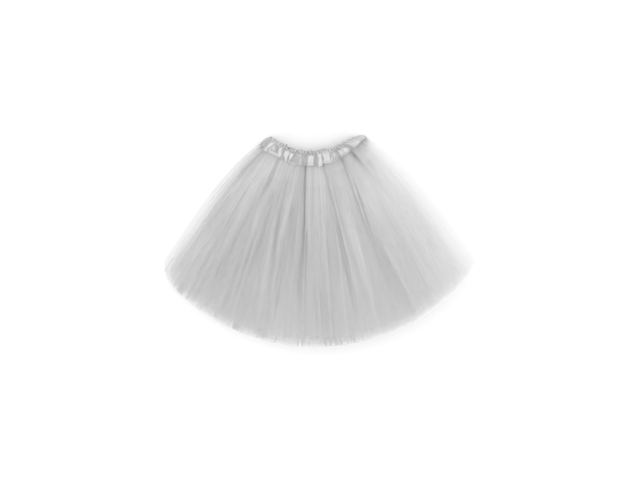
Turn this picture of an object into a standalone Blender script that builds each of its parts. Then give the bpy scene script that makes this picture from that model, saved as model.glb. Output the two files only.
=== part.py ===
"""A pull-on ballet tutu of soft tulle, laid flat on the floor with its front up.

Three gathered tulle layers, one inside another, are sewn into a gathered satin waistband. Each
layer is a front and a back half, seamed at both sides. The back halves lie flat on each other and
on the floor; the front halves arch over them in flutes, so the skirt stays hollow from its waist
to its hem.

Metres, +Z up. The waist is towards +Y and the floor is Z = 0. The origin is the middle of the
garment's footprint. "share" values run from 0 to 1, or from -1 to 1 across the garment.
"""

import math
from collections import namedtuple

import bmesh
import bpy
from mathutils import Vector

MM = 0.001
DEGREE = math.pi / 180

# The fan, seen from above.
FAN_CENTRE = Vector((-9.6 * MM, 188.3 * MM))  # the hems are arcs about this point, in the waistband
HEM_RADIUS = 405.0 * MM
LEFT_BULGE, RIGHT_BULGE = 14.0 * MM, 19.0 * MM  # how far the side folds bow out
BULGE_RISE = 0.7  # under 1, so that the skirt springs out beside the band
LEFT_CORNER_CUT = 0.045  # how much of its reach the hem loses at each corner
RIGHT_CORNER_CUT = 0.006
CORNER_START = 0.86  # share across where a corner begins to round off

# The waistband, seen from above: a strip bent about a point beyond the waist.
BAND_CENTRE = Vector((-12.6 * MM, 329.1 * MM))
BAND_TOP_RADIUS = 145.0 * MM
BAND_HEIGHT = 31.0 * MM
BAND_RIGHT_LOSS = 8.5 * MM  # height that the band loses where it rolls under towards its right end
ROLL_START, ROLL_LENGTH = 0.30, 0.50  # shares across over which it does
BAND_LEFT_ANGLE, BAND_RIGHT_ANGLE = -37.0 * DEGREE, 38.5 * DEGREE  # ends of the top fold
BAND_LOWER_SPREAD = 2.0 * DEGREE  # how much further each end of the lower edge reaches
BAND_LEFT_BULGE, BAND_RIGHT_BULGE = 1.6 * DEGREE, 3.2 * DEGREE  # of the ends, midway down
SEAM_ALLOWANCE = 8.0 * MM  # how far the tulle reaches up under the band
WAIST_LEFT_ANGLE, WAIST_RIGHT_ANGLE = -39.5 * DEGREE, 41.5 * DEGREE  # the outer tulle's sides

# Walls and the gaps between them.
TULLE_WALL = 1.0 * MM
BAND_WALL = 1.6 * MM
BAND_BACK_WALL = 2.0 * MM
GAP = 0.3 * MM
LAYER_GAP = 0.42 * MM  # between back halves, whose steps don't lie quite on each other
SEAM_LIFT = 0.35 * MM  # more room where a sloping front half meets its back half

# Folds of the front halves.
SHOULDER = 0.30  # share of the half width over which a front half climbs from its side seam
FLUTE_START, FLUTE_FULL = 0.03, 0.16  # shares down the skirt
FLUTE_EASE_START = 0.55  # share down the skirt where the flutes begin to flatten
FLUTE_AT_HEM = 0.8  # share of their depth that the flutes keep at the hem
STEPS_PER_FLUTE = 4
FOLD_FADE_IN, FOLD_FADE_OUT = 0.12, 0.15  # shares down over which a main fold deepens and ends

# Back halves: they step up onto the waistband's back near the waist.
STEP_START, STEP_END = 0.035, 0.15
BACK_ROWS = (0, STEP_START, 0.09, STEP_END, 0.5, 1)

Wave = namedtuple("Wave", "height rate phase")  # height of a sine, turns of it in radians
Layer = namedtuple(
    "Layer",
    "name hem_radius left_angle right_angle waist_inset heights flutes flute_depth rows back_columns",
)
Height = namedtuple("Height", "down height")  # share down the skirt, height of the wall's middle
Fold = namedtuple("Fold", "waist hem depth width start end")  # shares, but for depth
Stitch = namedtuple("Stitch", "down ruffle gather puff")  # share down the band, then heights

LAYERS = (
    Layer(
        name="tulle_outer",
        hem_radius=HEM_RADIUS,
        left_angle=-53.3 * DEGREE,
        right_angle=54.9 * DEGREE,
        waist_inset=0.0,
        heights=(
            Height(0.00, 14.8 * MM),
            Height(0.14, 25.0 * MM),
            Height(0.38, 33.0 * MM),
            Height(0.65, 31.5 * MM),
            Height(1.00, 22.8 * MM),
        ),
        flutes=36,
        flute_depth=4.0 * MM,
        rows=(0, 0.035, 0.09, 0.18, 0.32, 0.5, 0.7, 0.87, 1),
        back_columns=40,
    ),
    Layer(
        name="tulle_middle",
        hem_radius=HEM_RADIUS - 7.0 * MM,
        left_angle=-51.6 * DEGREE,
        right_angle=51.0 * DEGREE,
        waist_inset=2.6 * DEGREE,
        heights=(
            Height(0.00, 13.4 * MM),
            Height(0.14, 17.5 * MM),
            Height(0.38, 21.5 * MM),
            Height(0.65, 20.5 * MM),
            Height(1.00, 15.7 * MM),
        ),
        flutes=24,
        flute_depth=2.4 * MM,
        rows=(0, 0.06, 0.18, 0.4, 0.7, 1),
        back_columns=32,
    ),
    Layer(
        name="tulle_inner",
        hem_radius=HEM_RADIUS - 15.0 * MM,
        left_angle=-49.4 * DEGREE,
        right_angle=46.5 * DEGREE,
        waist_inset=5.6 * DEGREE,
        heights=(
            Height(0.00, 12.0 * MM),
            Height(0.14, 12.7 * MM),
            Height(0.38, 13.3 * MM),
            Height(0.65, 13.1 * MM),
            Height(1.00, 11.0 * MM),
        ),
        flutes=14,
        flute_depth=1.5 * MM,
        rows=(0, 0.08, 0.3, 0.65, 1),
        back_columns=28,
    ),
)

# What makes the flutes uneven: waves in their spacing, in their wander downwards and in their
# depth, each against the share across.
FLUTE_SPACING = (Wave(height=0.018, rate=9.0, phase=0.6), Wave(height=0.009, rate=23.0, phase=0.0))
FLUTE_WANDER = Wave(height=0.010, rate=5.0, phase=0.0)
WANDER_DRIFT = 3.0  # how far the wander's phase moves from waist to hem
FLUTE_MEAN_DEPTH = 0.78
FLUTE_DEPTHS = (Wave(height=0.16, rate=17.0, phase=1.0), Wave(height=0.06, rate=41.0, phase=0.0))

# The deepest folds of the outer front, from left to right.
MAIN_FOLDS = (
    Fold(waist=-0.86, hem=-0.80, depth=2.0 * MM, width=0.030, start=0.10, end=0.80),
    Fold(waist=-0.62, hem=-0.57, depth=2.6 * MM, width=0.026, start=0.15, end=0.95),
    Fold(waist=-0.46, hem=-0.37, depth=3.0 * MM, width=0.026, start=0.04, end=0.85),
    Fold(waist=-0.27, hem=-0.20, depth=2.4 * MM, width=0.022, start=0.20, end=0.92),
    Fold(waist=-0.12, hem=-0.03, depth=3.4 * MM, width=0.024, start=0.02, end=0.96),
    Fold(waist=0.14, hem=0.22, depth=3.0 * MM, width=0.024, start=0.04, end=0.92),
    Fold(waist=0.40, hem=0.46, depth=3.2 * MM, width=0.026, start=0.03, end=0.92),
    Fold(waist=0.64, hem=0.62, depth=2.4 * MM, width=0.030, start=0.08, end=0.75),
    Fold(waist=0.82, hem=0.80, depth=2.0 * MM, width=0.034, start=0.20, end=0.90),
)

# The waistband from its top fold (0) to its lower edge (1). The ruffle is the heading's, the
# gather and the puff are those of the channel that holds the elastic.
BAND_PROFILE = (
    Stitch(down=0.00, ruffle=1.9 * MM, gather=0.5 * MM, puff=0.3 * MM),
    Stitch(down=0.13, ruffle=1.2 * MM, gather=0.4 * MM, puff=0.0 * MM),
    Stitch(down=0.25, ruffle=0.3 * MM, gather=0.3 * MM, puff=-0.9 * MM),
    Stitch(down=0.45, ruffle=0.1 * MM, gather=1.4 * MM, puff=1.0 * MM),
    Stitch(down=0.72, ruffle=0.1 * MM, gather=1.5 * MM, puff=1.2 * MM),
    Stitch(down=0.92, ruffle=0.1 * MM, gather=0.7 * MM, puff=0.1 * MM),
    Stitch(down=1.00, ruffle=0.2 * MM, gather=0.9 * MM, puff=0.2 * MM),
)
BAND_RUFFLES = 30
BAND_GATHERS = 15
GATHER_DRIFT = Wave(height=1.1, rate=6.0, phase=0.0)  # crowds some gathers, spreads others
BAND_FRONT_HEIGHT = 18.2 * MM  # the middle of the front wall, before its puffs
BAND_SHOULDER = 0.26
BAND_END_HEIGHT = BAND_BACK_WALL + GAP + BAND_WALL / 2
BAND_OVER_TULLE_HEIGHT = 9.2 * MM  # the same end, where the tulle comes out of it
END_RISE_START, END_RISE_LENGTH = 0.45, 0.3  # shares down the band over which it rises between
BACK_HEADING_RISE = 1.6 * MM  # how far the heading's ruffles stand above the flat back
BACK_HEADING_END = 0.25  # share down the band where they have died out
BACK_RUFFLE_EDGE = 0.08  # share of the half width over which they fade out at each end
BAND_BACK_ROWS = (0, 0.12, BACK_HEADING_END, 0.6, 1)
BAND_BACK_COLUMNS = 48

TULLE_COLOUR = (0.585, 0.585, 0.590, 1)
TULLE_ROUGHNESS = 0.85
SATIN_COLOUR = (0.610, 0.610, 0.625, 1)
SATIN_ROUGHNESS = 0.38


def smooth(share):
    """0 below 0, 1 above 1, and an even S-curve between."""
    share = min(max(share, 0.0), 1.0)
    return share * share * (3 - 2 * share)


def mix(first, second, share):
    return first + (second - first) * share


def along(table, down, column):
    """A column of a table of named rows, blended between the rows each side of a share down."""
    for above, below in zip(table, table[1:]):
        if down <= below.down:
            share = smooth((down - above.down) / (below.down - above.down))
            return mix(getattr(above, column), getattr(below, column), share)
    return getattr(table[-1], column)


def wave_sum(waves, across):
    """Several sines of the share across, added up."""
    return sum(wave.height * math.sin(wave.rate * across + wave.phase) for wave in waves)


def polar(centre, radius, angle):
    """A point at an angle from straight down, towards the hem."""
    return centre + Vector((math.sin(angle), -math.cos(angle))) * radius


def band_height(across):
    """The band's height from its top fold to its lower edge."""
    return BAND_HEIGHT - BAND_RIGHT_LOSS * smooth((across - ROLL_START) / ROLL_LENGTH)


def hem_reach(layer, across):
    """The hem's radius, less what it loses in rounding off at the two corners."""
    cut = LEFT_CORNER_CUT if across < 0 else RIGHT_CORNER_CUT
    corner = max(abs(across) - CORNER_START, 0) / (1 - CORNER_START)
    return layer.hem_radius * (1 - cut * corner * corner)


def skirt_plan(layer, across, down):
    """Where a point of a layer lies, seen from above."""
    waist_radius = BAND_TOP_RADIUS + band_height(across) - SEAM_ALLOWANCE
    waist_angle = mix(WAIST_LEFT_ANGLE, WAIST_RIGHT_ANGLE, (across + 1) / 2)
    waist = polar(BAND_CENTRE, waist_radius, waist_angle - layer.waist_inset * across)
    hem_angle = mix(layer.left_angle, layer.right_angle, (across + 1) / 2)
    hem = polar(FAN_CENTRE, hem_reach(layer, across), hem_angle)
    line = hem - waist
    outward = Vector((-line.y, line.x)).normalized()
    bulge = LEFT_BULGE if across < 0 else RIGHT_BULGE
    bow = bulge * math.sin(math.pi * down**BULGE_RISE) * across**3
    return waist + line * down + outward * bow


def back_height(order, down):
    """The underside of a back half; order counts the layers below it."""
    step = 1 - smooth((down - STEP_START) / (STEP_END - STEP_START))
    return step * (BAND_BACK_WALL + GAP) + order * (TULLE_WALL + LAYER_GAP)


def flute_phase(across, down):
    """Turns of the flute wave: unevenly spaced, and wandering a little on the way down."""
    drift = FLUTE_WANDER.phase + WANDER_DRIFT * down
    wander = FLUTE_WANDER.height * math.sin(FLUTE_WANDER.rate * across + drift)
    return (across + wave_sum(FLUTE_SPACING, across) + wander * down + 1) / 2


def flute_unevenness(across):
    """Deep flutes beside shallow ones."""
    return FLUTE_MEAN_DEPTH + wave_sum(FLUTE_DEPTHS, across)


def fold_depth(across, down):
    """How far the deepest folds push the outer front in at a point."""
    depth = 0.0
    for fold in MAIN_FOLDS:
        offset = (across - mix(fold.waist, fold.hem, down)) / fold.width
        fade_in = smooth((down - fold.start) / FOLD_FADE_IN)
        fade_out = smooth((fold.end - down) / FOLD_FADE_OUT)
        depth += fold.depth * fade_in * fade_out * math.exp(-offset * offset)
    return depth


def front_height(layer, order, across, down):
    """The middle of a front half's wall: up from the side seams, then level with flutes."""
    seam = back_height(order, down) + TULLE_WALL + GAP + SEAM_LIFT + TULLE_WALL / 2
    climb = math.sin(math.pi / 2 * min((1 - abs(across)) / SHOULDER, 1))
    level = mix(seam, along(layer.heights, down, "height"), climb)
    growth = smooth((down - FLUTE_START) / (FLUTE_FULL - FLUTE_START)) * climb
    growth *= mix(1, FLUTE_AT_HEM, smooth((down - FLUTE_EASE_START) / (1 - FLUTE_EASE_START)))
    turns = flute_phase(across, down) * layer.flutes
    wave = math.cos(2 * math.pi * turns) * flute_unevenness(across)
    folds = fold_depth(across, down) if layer is LAYERS[0] else 0.0
    return level + growth * (layer.flute_depth * wave - folds)


def band_plan(across, down):
    """Where a point of the waistband lies, seen from above."""
    bulge = BAND_LEFT_BULGE if across < 0 else BAND_RIGHT_BULGE
    spread = BAND_LOWER_SPREAD * down + bulge * (1 - (2 * down - 1) ** 2)
    angle = mix(BAND_LEFT_ANGLE, BAND_RIGHT_ANGLE, (across + 1) / 2) + across * spread
    return polar(BAND_CENTRE, BAND_TOP_RADIUS + band_height(across) * down, angle)


def band_waves(across, down):
    """Ruffle, gather and puff of the waistband at a point, added up."""
    ruffle = math.cos(math.pi * BAND_RUFFLES * (across + 1))
    gather = math.cos(math.pi * BAND_GATHERS * (across + 1) + wave_sum([GATHER_DRIFT], across))
    return (
        along(BAND_PROFILE, down, "ruffle") * ruffle
        + along(BAND_PROFILE, down, "gather") * gather
        + along(BAND_PROFILE, down, "puff")
    )


def band_front_height(across, down):
    """The middle of the front wall: it comes down to the back at both ends."""
    rise = smooth((down - END_RISE_START) / END_RISE_LENGTH)
    end = mix(BAND_END_HEIGHT, BAND_OVER_TULLE_HEIGHT, rise)
    climb = math.sin(math.pi / 2 * min((1 - abs(across)) / BAND_SHOULDER, 1))
    return mix(end, BAND_FRONT_HEIGHT, climb) + climb * band_waves(across, down)


def band_back_top(across, down):
    """How thick the back of the band is: its heading ruffles upwards only."""
    ruffle = 0.5 + 0.5 * math.cos(math.pi * BAND_RUFFLES / 2 * (across + 1))
    heading = 1 - smooth(down / BACK_HEADING_END)
    edge = smooth((1 - abs(across)) / BACK_RUFFLE_EDGE)
    return BAND_BACK_WALL + heading * edge * ruffle * BACK_HEADING_RISE


def make_material(name, colour, roughness):
    """A plain cloth finish."""
    material = bpy.data.materials.new(name)
    material.use_nodes = True
    shader = material.node_tree.nodes["Principled BSDF"]
    shader.inputs["Base Color"].default_value = colour
    shader.inputs["Roughness"].default_value = roughness
    return material


def grid(columns, rows):
    """A bmesh grid with columns across and one line of points at each share in rows.

    Its points hold (across, down, 0), with across from -1 to 1 and down from 0 to 1.
    """
    mesh = bmesh.new()
    bmesh.ops.create_grid(mesh, x_segments=columns, y_segments=len(rows) - 1, size=1)
    for point in mesh.verts:
        line = round((point.co.y + 1) / 2 * (len(rows) - 1))
        point.co.y = rows[line]
    return mesh


def add_object(name, mesh, material, parent):
    """Turns a bmesh into a named object of the garment."""
    bmesh.ops.recalc_face_normals(mesh, faces=mesh.faces)
    data = bpy.data.meshes.new(name)
    mesh.to_mesh(data)
    mesh.free()
    data.materials.append(material)
    data.shade_smooth()
    piece = bpy.data.objects.new(name, data)
    piece.parent = parent
    bpy.context.collection.objects.link(piece)
    return piece


def add_draped(name, columns, rows, surface, wall, material, parent):
    """A cloth wall of even thickness; surface gives the middle of it."""
    mesh = grid(columns, rows)
    for point in mesh.verts:
        point.co = surface(point.co.x, point.co.y)
    piece = add_object(name, mesh, material, parent)
    solidify = piece.modifiers.new("wall", "SOLIDIFY")
    solidify.thickness = wall
    solidify.offset = 0
    solidify.use_even_offset = True
    return piece


def add_lying(name, columns, rows, plan, underside, thickness, material, parent):
    """A cloth wall lying flat: an underside, and the same grid again a thickness above it."""
    mesh = grid(columns, rows)
    made = bmesh.ops.extrude_face_region(mesh, geom=mesh.faces[:], use_keep_orig=True)
    above = {item for item in made["geom"] if isinstance(item, bmesh.types.BMVert)}
    for point in mesh.verts:
        across, down = point.co.x, point.co.y
        place = plan(across, down)
        lift = thickness(across, down) if point in above else 0
        point.co = (place.x, place.y, underside(down) + lift)
    return add_object(name, mesh, material, parent)


def add_layer(layer, order, material, parent):
    """The back and the front half of one tulle layer."""

    def plan(across, down):
        return skirt_plan(layer, across, down)

    def underside(down):
        return back_height(order, down)

    def surface(across, down):
        place = plan(across, down)
        return place.x, place.y, front_height(layer, order, across, down)

    def even(across, down):
        return TULLE_WALL

    back, columns = f"{layer.name}_back", layer.back_columns
    add_lying(back, columns, BACK_ROWS, plan, underside, even, material, parent)
    front, columns = f"{layer.name}_front", layer.flutes * STEPS_PER_FLUTE
    add_draped(front, columns, layer.rows, surface, TULLE_WALL, material, parent)


def add_waistband(material, parent):
    """The gathered satin casing: a back that lies flat and a ruffled front."""

    def underside(down):
        return 0.0

    def surface(across, down):
        place = band_plan(across, down)
        return place.x, place.y, band_front_height(across, down)

    back, columns = "waistband_back", BAND_BACK_COLUMNS
    add_lying(
        back, columns, BAND_BACK_ROWS, band_plan, underside, band_back_top, material, parent
    )
    front, columns = "waistband_front", BAND_RUFFLES * STEPS_PER_FLUTE
    rows = tuple(stitch.down for stitch in BAND_PROFILE)
    add_draped(front, columns, rows, surface, BAND_WALL, material, parent)


def main():
    for old in list(bpy.data.objects):
        bpy.data.objects.remove(old)
    tulle = make_material("tulle", TULLE_COLOUR, TULLE_ROUGHNESS)
    satin = make_material("satin", SATIN_COLOUR, SATIN_ROUGHNESS)
    tutu = bpy.data.objects.new("tutu", None)
    bpy.context.collection.objects.link(tutu)
    for order, layer in enumerate(LAYERS):
        add_layer(layer, order, tulle, tutu)
    add_waistband(satin, tutu)


main()
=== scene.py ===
"""The finished cloth, sewing and studio of a pull-on ballet tutu, laid flat with its front up.

Three gathered tulle layers, each a tube closed all round, hang from a gathered satin waistband
with a ruffled heading. Metres, +Z up, waist towards +Y. "across" runs from -1 at the left side
fold to 1 at the right one, and "down" from 0 at the waist to 1 at the hem.
"""

import logging
import math
import random
from dataclasses import dataclass, field
from enum import Enum
from typing import Any, Callable

import bmesh
import bpy
from mathutils import Matrix, Vector


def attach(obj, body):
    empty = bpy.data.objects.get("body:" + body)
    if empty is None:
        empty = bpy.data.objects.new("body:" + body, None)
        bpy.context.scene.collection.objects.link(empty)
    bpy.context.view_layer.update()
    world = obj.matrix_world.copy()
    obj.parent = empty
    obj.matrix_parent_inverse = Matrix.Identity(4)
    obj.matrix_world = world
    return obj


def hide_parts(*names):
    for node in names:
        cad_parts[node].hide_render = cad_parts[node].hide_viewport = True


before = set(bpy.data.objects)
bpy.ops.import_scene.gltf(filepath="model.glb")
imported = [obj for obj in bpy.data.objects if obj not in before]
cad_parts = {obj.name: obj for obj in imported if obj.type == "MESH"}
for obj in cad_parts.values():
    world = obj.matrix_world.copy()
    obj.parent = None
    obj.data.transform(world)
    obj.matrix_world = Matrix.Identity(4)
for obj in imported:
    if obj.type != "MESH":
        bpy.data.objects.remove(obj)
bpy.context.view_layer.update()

log = logging.getLogger("tutu")

MM = 0.001
DEGREE = math.pi / 180
TURN = 2 * math.pi
MATHS = "ShaderNodeMath"
VECTOR_MATHS = "ShaderNodeVectorMath"
BODY = "root"
CLOSING = 0.001 * MM  # points nearer than this are joined where a tube closes
FADED = 3.0  # spreads from its middle at which a fold has faded out
SHARE_DIGITS = 4  # to which a row of cloth points is told by its share down


# ---------------------------------------------------------------- small helpers


def clamp(value: float, low: float = 0.0, high: float = 1.0) -> float:
    """Keeps a value between two limits."""
    return min(max(value, low), high)


def smooth(share: float) -> float:
    """0 below 0, 1 above 1, and an even S-curve between."""
    share = clamp(share)
    return share * share * (3 - 2 * share)


def mix(first: float, second: float, share: float) -> float:
    """Blends two numbers."""
    return first + (second - first) * share


def bell(offset: float) -> float:
    """A rounded bump: 1 at no offset, near 0 past an offset of 2."""
    return math.exp(-offset * offset)


def arch(across: float, shoulder: float) -> float:
    """An arch over the garment's width: 0 at its sides, and 1 past its shoulders."""
    return math.sin(math.pi / 2 * min((1 - abs(across)) / shoulder, 1))


def linear(hex_colour: str) -> tuple[float, float, float, float]:
    """Turns an sRGB hex colour into linear values.

    Args:
        hex_colour: a # and six hex digits.

    Returns:
        Red, green, blue and alpha.
    """
    values = [int(hex_colour[i : i + 2], 16) / 255 for i in (1, 3, 5)]
    red, green, blue = (v / 12.92 if v <= 0.04045 else ((v + 0.055) / 1.055) ** 2.4 for v in values)
    return red, green, blue, 1.0


@dataclass(frozen=True)
class Wave:
    """A sine: its height, its rate in radians, where it starts and its slant on the way down."""

    height: float
    rate: float
    phase: float = 0.0
    slant: float = 0.0

    def at(self, value: float, down: float = 0.0) -> float:
        """The wave's height at a value and a share down."""
        return self.height * math.sin(self.rate * value + self.phase + self.slant * down)


Waves = tuple[Wave, ...]


def add_up(waves: Waves, value: float, down: float = 0.0) -> float:
    """The height of several waves together."""
    return sum(wave.at(value, down) for wave in waves)


@dataclass(frozen=True)
class Ramp:
    """An even S-curve from 0 to 1: where it starts and how long it is."""

    start: float
    length: float

    def at(self, value: float) -> float:
        """The ramp's height at a value."""
        return smooth((value - self.start) / self.length)


@dataclass(frozen=True)
class Row:
    """A row of a table that is read by share: a share and the value there."""

    share: float
    value: float


Table = tuple[Row, ...]


def read(table: Table, share: float) -> float:
    """Reads a table, blended smoothly between its rows.

    Args:
        table: rows in order of share.
        share: where to read it.

    Returns:
        The blended value, or the end row's outside the table.
    """
    if share <= table[0].share:
        return table[0].value
    for low, high in zip(table, table[1:]):
        if share <= high.share:
            span = (share - low.share) / (high.share - low.share)
            return mix(low.value, high.value, smooth(span))
    return table[-1].value


def steady(*points: tuple[float, float]) -> Table:
    """Rows from pairs of share and value."""
    return tuple(Row(*pair) for pair in points)


def polar(centre: Vector, radius: float, angle: float) -> Vector:
    """A point at an angle from straight down, towards the hem."""
    return centre + Vector((math.sin(angle), -math.cos(angle))) * radius


def add_node(
    tree: bpy.types.NodeTree,
    kind: str,
    inputs: dict[Any, Any] | tuple[Any, ...] = (),
    **settings: Any,
) -> bpy.types.Node:
    """Adds a shader node with its settings and its links.

    Args:
        tree: the material's node tree.
        kind: the node's type.
        inputs: a plain value, an output socket or a node, whose first output is meant, for each
            input: by name or number, or in order.
        settings: the node's own options.

    Returns:
        The new node.
    """
    node = tree.nodes.new(kind)
    for name, value in settings.items():
        setattr(node, name, value)
    for name, value in (inputs if isinstance(inputs, dict) else dict(enumerate(inputs))).items():
        if isinstance(value, bpy.types.Node):
            value = value.outputs[0]
        if isinstance(value, bpy.types.NodeSocket):
            tree.links.new(value, node.inputs[name])
        else:
            node.inputs[name].default_value = value
    return node


def add_piece(name: str, mesh: bmesh.types.BMesh, material: bpy.types.Material) -> bpy.types.Object:
    """Turns a mesh into a smooth piece of the scene, dressed in a material.

    Args:
        name: the piece's name.
        mesh: its shape, which is used up.
        material: its finish.

    Returns:
        The piece.
    """
    data = bpy.data.meshes.new(name)
    mesh.to_mesh(data)
    mesh.free()
    data.shade_smooth()
    data.materials.append(material)
    piece = bpy.data.objects.new(name, data)
    bpy.context.collection.objects.link(piece)
    return piece


# ---------------------------------------------------------------- finishes


class Finish:
    """A finish: what its Principled shader is given."""

    def inputs(self, tree: bpy.types.NodeTree) -> dict[str, Any]:
        """The shader's inputs by name, with the nodes that feed them."""
        raise NotImplementedError

    def make(self, name: str) -> bpy.types.Material:
        """Builds the material.

        Args:
            name: the material's name.

        Returns:
            The material.
        """
        material = bpy.data.materials.new(name)
        material.use_nodes = True
        tree = material.node_tree
        tree.nodes.clear()
        shader = add_node(tree, "ShaderNodeBsdfPrincipled", self.inputs(tree))
        add_node(tree, "ShaderNodeOutputMaterial", {"Surface": shader})
        return material


@dataclass(frozen=True)
class NylonTulle(Finish):
    """Nylon tulle: a fine hexagonal bobbin net, knitted flat and heat set.

    One thickness hardly shows, and many make a soft matt grey. Where the net is gathered its
    threads crowd together, so the "gathering" attribute says how many thicknesses lie there. The
    "crease" attribute paints shade into the net's colour in a crease and a painted highlight on a
    ridge. The "streaks" attribute says how plainly the finest creases show, in their density and in
    the shade painted along them.
    """

    thread_colour: str
    cover: float  # share of the view that one flat thickness hides
    cut_width: float  # metres round the whole layer, as cut
    cut_length: float
    hole_pitch_mm: float = 2.6  # the real net's is about 1.2 mm, too fine to show
    net_contrast: float = 0.5
    thread_middle: float = -1.0  # the ripples' sum in the middle of a thread
    hole_edge: float = 0.8  # the same where a hole begins
    streak_width_mm: float = 38.0
    streak_length_mm: float = 420.0
    streak_octaves: float = 5.0
    streak_fineness: float = 0.75
    streak_gain: float = 4.0
    streak_contrast: float = 0.8
    streak_shade: float = 0.45  # painted shade: how much darker the net's colour is made where a streak is densest
    # painted shade in a crease, and a painted highlight on a ridge, for each unit of the "crease"
    # attribute
    crease_shade: float = 0.87
    darkest: float = 0.15  # the share of its colour that the deepest painted shade in a crease keeps
    roughness: float = 0.85
    specular: float = 0.25
    sheen: float = 0.25
    sheen_roughness: float = 0.5

    def inputs(self, tree: bpy.types.NodeTree) -> dict[str, Any]:
        """The shader's inputs. The patterns follow the cloth's own UV map.

        Args:
            tree: the material's node tree.

        Returns:
            Each input's value or source by name.
        """
        uv = add_node(tree, "ShaderNodeUVMap", uv_map="cut")
        size = (self.cut_width / MM, self.cut_length / MM, 1)
        cut_mm = add_node(tree, VECTOR_MATHS, (uv, size), operation="MULTIPLY")
        streaks = self.streaks(tree, cut_mm)
        plies = add_node(tree, "ShaderNodeAttribute", attribute_name="gathering").outputs["Fac"]
        for denser in (self.net(tree, cut_mm), add_node(tree, MATHS, (1.0, streaks))):
            plies = add_node(tree, MATHS, (plies, denser), operation="MULTIPLY")
        clear = add_node(tree, MATHS, (1 - self.cover, plies), operation="POWER")
        # The "crease" and "streaks" values paint shade into the thread colour, and on a ridge a
        # painted highlight.
        crease = add_node(tree, "ShaderNodeAttribute", attribute_name="crease").outputs["Fac"]
        shade = add_node(tree, MATHS, (crease, self.crease_shade), operation="MULTIPLY")
        streak_shade = self.streak_shade / self.streak_contrast
        shade = add_node(tree, MATHS, (streaks, streak_shade, shade), operation="MULTIPLY_ADD")
        lit = add_node(tree, MATHS, (1.0, shade), operation="SUBTRACT")
        lit = add_node(tree, MATHS, (self.darkest, lit), operation="MAXIMUM")
        colour = {0: linear(self.thread_colour)[:3], "Scale": lit}
        return {
            "Base Color": add_node(tree, VECTOR_MATHS, colour, operation="SCALE"),
            "Roughness": self.roughness,
            "Sheen Weight": self.sheen,
            "Sheen Roughness": self.sheen_roughness,
            "Specular IOR Level": self.specular,
            "Alpha": add_node(tree, MATHS, (1.0, clear), operation="SUBTRACT"),
        }

    def net(self, tree: bpy.types.NodeTree, cut_mm: bpy.types.Node) -> bpy.types.Node:
        """Hexagonal holes: three sets of ripples, 60 degrees apart, added up.

        Args:
            tree: the material's node tree.
            cut_mm: the place on the flat cut, in millimetres.

        Returns:
            A value about 1 on average, high on the threads and low in the holes.
        """
        rate = 2 * TURN / (math.sqrt(3) * self.hole_pitch_mm)
        total: Any = 0.0
        for turn in (0, 60, 120):
            angle = turn * DEGREE
            direction = (rate * math.cos(angle), rate * math.sin(angle), 0)
            along = add_node(tree, VECTOR_MATHS, (cut_mm, direction), operation="DOT_PRODUCT")
            ripple = add_node(tree, MATHS, (along.outputs["Value"],), operation="COSINE")
            total = add_node(tree, MATHS, (ripple, total), operation="ADD")
        limits = {
            "Value": total,
            "From Min": self.thread_middle,
            "From Max": self.hole_edge,
            "To Min": 1 + self.net_contrast,
            "To Max": 1 - self.net_contrast,
        }
        return add_node(tree, "ShaderNodeMapRange", limits, interpolation_type="SMOOTHSTEP")

    def streaks(self, tree: bpy.types.NodeTree, cut_mm: bpy.types.Node) -> bpy.types.Node:
        """Soft creases of every width from waist to hem, along which the net lies denser; the same
        value paints shade into its colour.

        Args:
            tree: the material's node tree.
            cut_mm: the place on the flat cut, in millimetres.

        Returns:
            A value about 0 on average.
        """
        size = (1 / self.streak_width_mm, 1 / self.streak_length_mm, 1)
        creases = {
            "Vector": add_node(tree, VECTOR_MATHS, (cut_mm, size), operation="MULTIPLY"),
            "Scale": 1.0,
            "Detail": self.streak_octaves,
            "Roughness": self.streak_fineness,
        }
        noise = add_node(tree, "ShaderNodeTexNoise", creases)
        centre = (noise, self.streak_gain, -self.streak_gain / 2)
        centred = add_node(tree, MATHS, centre, operation="MULTIPLY_ADD")
        plain = add_node(tree, "ShaderNodeAttribute", attribute_name="streaks").outputs["Fac"]
        contrast = add_node(tree, MATHS, (plain, self.streak_contrast), operation="MULTIPLY")
        return add_node(tree, MATHS, (centred, contrast), operation="MULTIPLY")


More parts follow.
